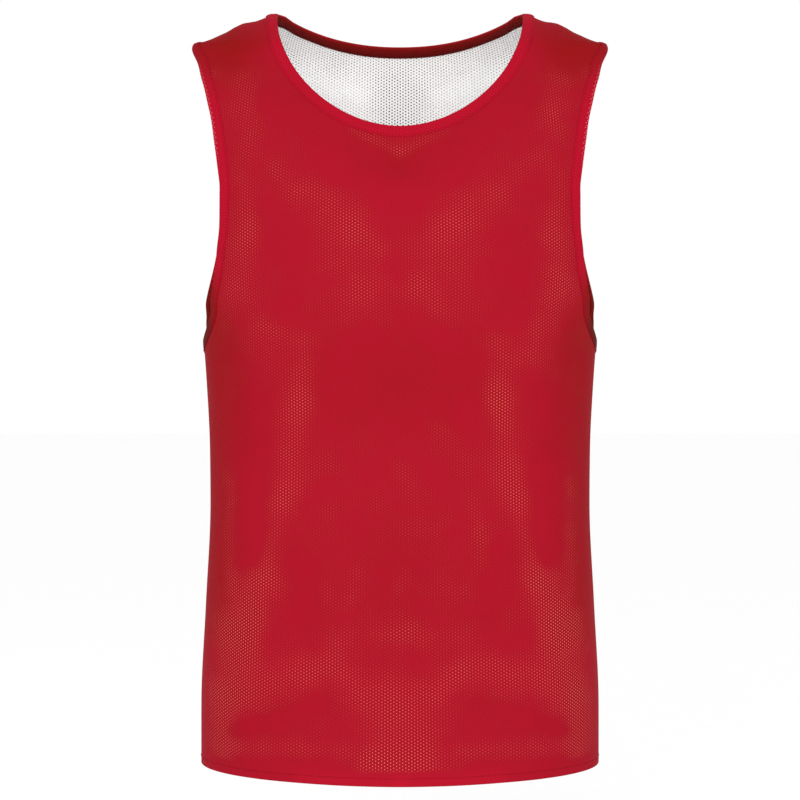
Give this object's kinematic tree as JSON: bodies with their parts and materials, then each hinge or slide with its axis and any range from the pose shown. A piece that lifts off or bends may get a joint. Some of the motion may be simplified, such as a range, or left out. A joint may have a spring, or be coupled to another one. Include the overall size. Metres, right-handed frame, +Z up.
{
  "type": "reversible training bib",
  "caption": "Sleeveless reversible mesh training bib, red outside and white inside, in the hollow shape it has when worn, with a scoop neck and bound edges.",
  "frame": {"origin": "midway between the high points of the two shoulder seams, where the bib hangs on the wearer's shoulders", "axes": "+Z up, the front of the bib faces -Y, +X towards the wearer's left"},
  "size_m": [0.3994, 0.2643, 0.7244],
  "materials": {
    "red_mesh": "matt polyester mesh with small round eyelets, soft sheen",
    "white_mesh": "matt polyester mesh with small round eyelets",
    "red_binding": "folded strip of the same red mesh, topstitched"
  },
  "bodies": {
    "root": {"outer_front": "red_mesh", "outer_back": "red_mesh", "inner_front": "white_mesh", "inner_back": "white_mesh", "neck_binding": "red_binding", "armhole_binding_left": "red_binding", "armhole_binding_right": "red_binding"}
  },
  "joints": []
}
